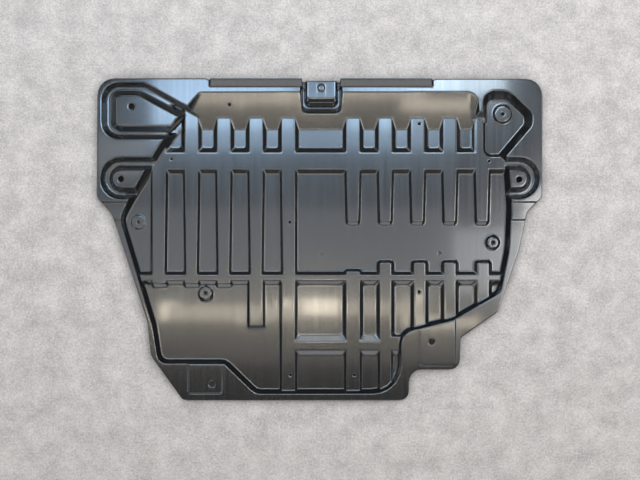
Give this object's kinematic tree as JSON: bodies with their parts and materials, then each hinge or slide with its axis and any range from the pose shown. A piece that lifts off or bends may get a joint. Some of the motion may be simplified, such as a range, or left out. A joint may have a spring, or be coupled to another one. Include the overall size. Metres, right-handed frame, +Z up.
{
  "type": "engine splash shield",
  "caption": "Thin moulded undertray with a wide flange, a shallow ribbed tray, raised bolt pads in channels, a turned-up front lip and a notch with a raised tongue.",
  "frame": {"origin": "on the plane the shield rests on, under the middle of its bounding box", "axes": "+X to the right, +Y towards the notched front edge, +Z up out of the open side of the tray"},
  "size_m": [0.7814, 0.5656, 0.0285],
  "materials": {
    "black_plastic": "black moulded plastic with a soft sheen"
  },
  "bodies": {
    "root": {"splash_shield": "black_plastic"}
  },
  "joints": []
}
